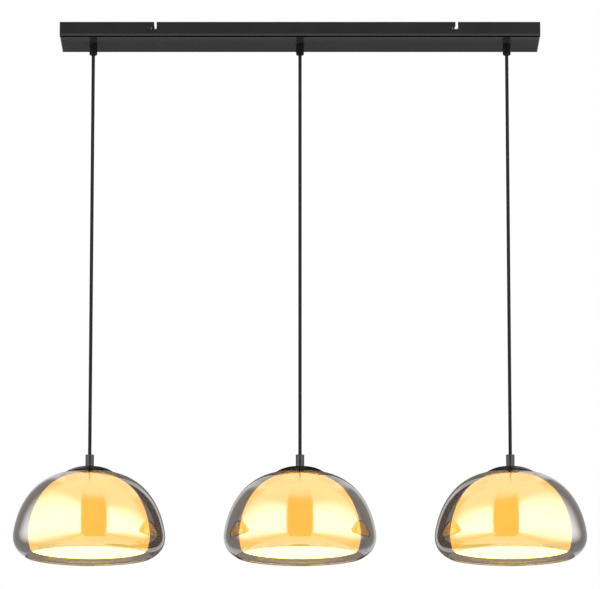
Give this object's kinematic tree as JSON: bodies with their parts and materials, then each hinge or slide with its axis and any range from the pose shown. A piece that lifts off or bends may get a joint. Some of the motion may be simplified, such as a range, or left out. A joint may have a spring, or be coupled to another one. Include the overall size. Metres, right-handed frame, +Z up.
{
  "type": "bar pendant light",
  "caption": "Ceiling bar pendant: a slim black tray on brackets, cords in grips, and smoked glass bowls around glowing opal inner shades.",
  "frame": {"origin": "middle of the bar at the ceiling plane, centre of the ceiling screw pattern", "axes": "+Z up to the ceiling, +X along the bar, -Y towards the viewer of the picture"},
  "size_m": [1.0754, 0.2854, 1.0177],
  "materials": {
    "black_powder_coat": "semi-gloss black powder coat",
    "zinc_steel": "zinc-plated sheet steel",
    "black_screw": "black oxide",
    "black_plastic": "satin moulded plastic",
    "soft_rubber": "matt silicone rubber",
    "cord_sheath": "smooth black cord sheath",
    "white_plastic": "white moulded plastic",
    "earth_core": "green and yellow insulation",
    "brass": "bright turned brass",
    "smoke_glass": "clear blown glass with a brown-grey smoke tint",
    "opal_glass": "satin opal glass, warm when lit",
    "bulb_metal": "nickel-plated bulb cap",
    "bulb_glass": "frosted bulb glass"
  },
  "bodies": {
    "ceiling_brackets": {"ceiling_bracket_left": "zinc_steel", "ceiling_bracket_right": "zinc_steel", "bracket_lock_screws": "black_screw"},
    "canopy": {"canopy_tray": "black_powder_coat", "junction_box": "white_plastic", "junction_lid": "white_plastic", "junction_lid_screws": "zinc_steel", "earth_nut": "brass", "earth_lead": "earth_core", "grip_nuts": "zinc_steel", "grip_clamp_screws": "black_screw", "cord_grip_left": "black_plastic", "inner_lead_left": "cord_sheath", "cord_grip_centre": "black_plastic", "inner_lead_centre": "cord_sheath", "cord_grip_right": "black_plastic", "inner_lead_right": "cord_sheath"},
    "bush_left": {"grip_bush_left": "soft_rubber"},
    "cord_left": {"cord_left": "cord_sheath"},
    "pendant_left": {"cord_sleeve_left": "black_powder_coat", "threaded_tube_left": "brass", "shade_cap_left": "black_powder_coat", "outer_glass_left": "smoke_glass", "inner_glass_left": "opal_glass", "glass_gaskets_left": "soft_rubber", "clamp_plate_left": "zinc_steel", "clamp_nut_left": "zinc_steel", "lampholder_left": "black_plastic", "socket_shell_left": "brass", "bulb_base_left": "bulb_metal", "bulb_globe_left": "bulb_glass"},
    "bush_centre": {"grip_bush_centre": "soft_rubber"},
    "cord_centre": {"cord_centre": "cord_sheath"},
    "pendant_centre": {"cord_sleeve_centre": "black_powder_coat", "threaded_tube_centre": "brass", "shade_cap_centre": "black_powder_coat", "outer_glass_centre": "smoke_glass", "inner_glass_centre": "opal_glass", "glass_gaskets_centre": "soft_rubber", "clamp_plate_centre": "zinc_steel", "clamp_nut_centre": "zinc_steel", "lampholder_centre": "black_plastic", "socket_shell_centre": "brass", "bulb_base_centre": "bulb_metal", "bulb_globe_centre": "bulb_glass"},
    "bush_right": {"grip_bush_right": "soft_rubber"},
    "cord_right": {"cord_right": "cord_sheath"},
    "pendant_right": {"cord_sleeve_right": "black_powder_coat", "threaded_tube_right": "brass", "shade_cap_right": "black_powder_coat", "outer_glass_right": "smoke_glass", "inner_glass_right": "opal_glass", "glass_gaskets_right": "soft_rubber", "clamp_plate_right": "zinc_steel", "clamp_nut_right": "zinc_steel", "lampholder_right": "black_plastic", "socket_shell_right": "brass", "bulb_base_right": "bulb_metal", "bulb_globe_right": "bulb_glass"}
  },
  "joints": [
    {"name": "canopy_release", "type": "slide", "parent": "ceiling_brackets", "child": "canopy", "axis": [-1, 0, 0], "range_m": [0, 0.0115]},
    {"name": "swing_across_left", "type": "hinge", "parent": "canopy", "child": "bush_left", "pos_m": [-0.395, 0, -0.048], "axis": [1, 0, 0], "range_deg": [-15, 15]},
    {"name": "swing_along_left", "type": "hinge", "parent": "bush_left", "child": "cord_left", "pos_m": [-0.395, 0, -0.048], "axis": [0, 1, 0], "range_deg": [-3, 12]},
    {"name": "height_left", "type": "slide", "parent": "cord_left", "child": "pendant_left", "axis": [0, 0, 1], "range_m": [0, 0.4], "deforming": ["cord_left"]},
    {"name": "swing_across_centre", "type": "hinge", "parent": "canopy", "child": "bush_centre", "pos_m": [0, 0, -0.048], "axis": [1, 0, 0], "range_deg": [-15, 15]},
    {"name": "swing_along_centre", "type": "hinge", "parent": "bush_centre", "child": "cord_centre", "pos_m": [0, 0, -0.048], "axis": [0, 1, 0], "range_deg": [-3, 3]},
    {"name": "height_centre", "type": "slide", "parent": "cord_centre", "child": "pendant_centre", "axis": [0, 0, 1], "range_m": [0, 0.4], "deforming": ["cord_centre"]},
    {"name": "swing_across_right", "type": "hinge", "parent": "canopy", "child": "bush_right", "pos_m": [0.395, 0, -0.048], "axis": [1, 0, 0], "range_deg": [-15, 15]},
    {"name": "swing_along_right", "type": "hinge", "parent": "bush_right", "child": "cord_right", "pos_m": [0.395, 0, -0.048], "axis": [0, 1, 0], "range_deg": [-12, 3]},
    {"name": "height_right", "type": "slide", "parent": "cord_right", "child": "pendant_right", "axis": [0, 0, 1], "range_m": [0, 0.4], "deforming": ["cord_right"]}
  ]
}
